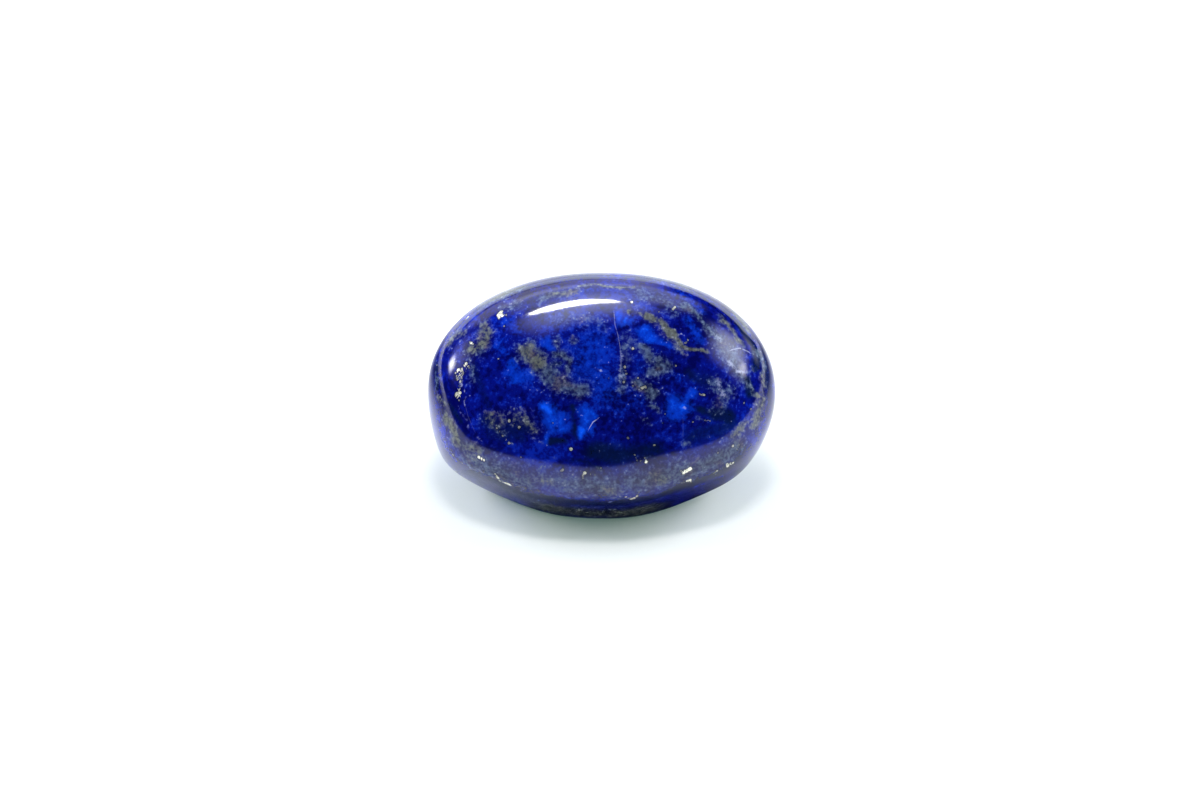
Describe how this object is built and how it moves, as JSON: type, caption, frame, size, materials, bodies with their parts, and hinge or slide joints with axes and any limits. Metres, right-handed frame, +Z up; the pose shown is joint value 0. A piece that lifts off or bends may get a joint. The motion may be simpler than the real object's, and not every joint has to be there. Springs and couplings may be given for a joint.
{
  "type": "polished lapis lazuli stone",
  "caption": "Tumbled and polished lapis lazuli stone, an oval pebble that leans back on a small flat spot.",
  "frame": {"origin": "centre of the bounding box's bottom, on the level of the flat spot that the stone rests on", "axes": "+X along the stone's length, +Z up, -Y towards the viewer of the broad polished face"},
  "size_m": [0.035, 0.0216, 0.0221],
  "materials": {
    "lapis": "tumbled to a high polish"
  },
  "bodies": {
    "root": {"lapis_stone": "lapis"}
  },
  "joints": []
}
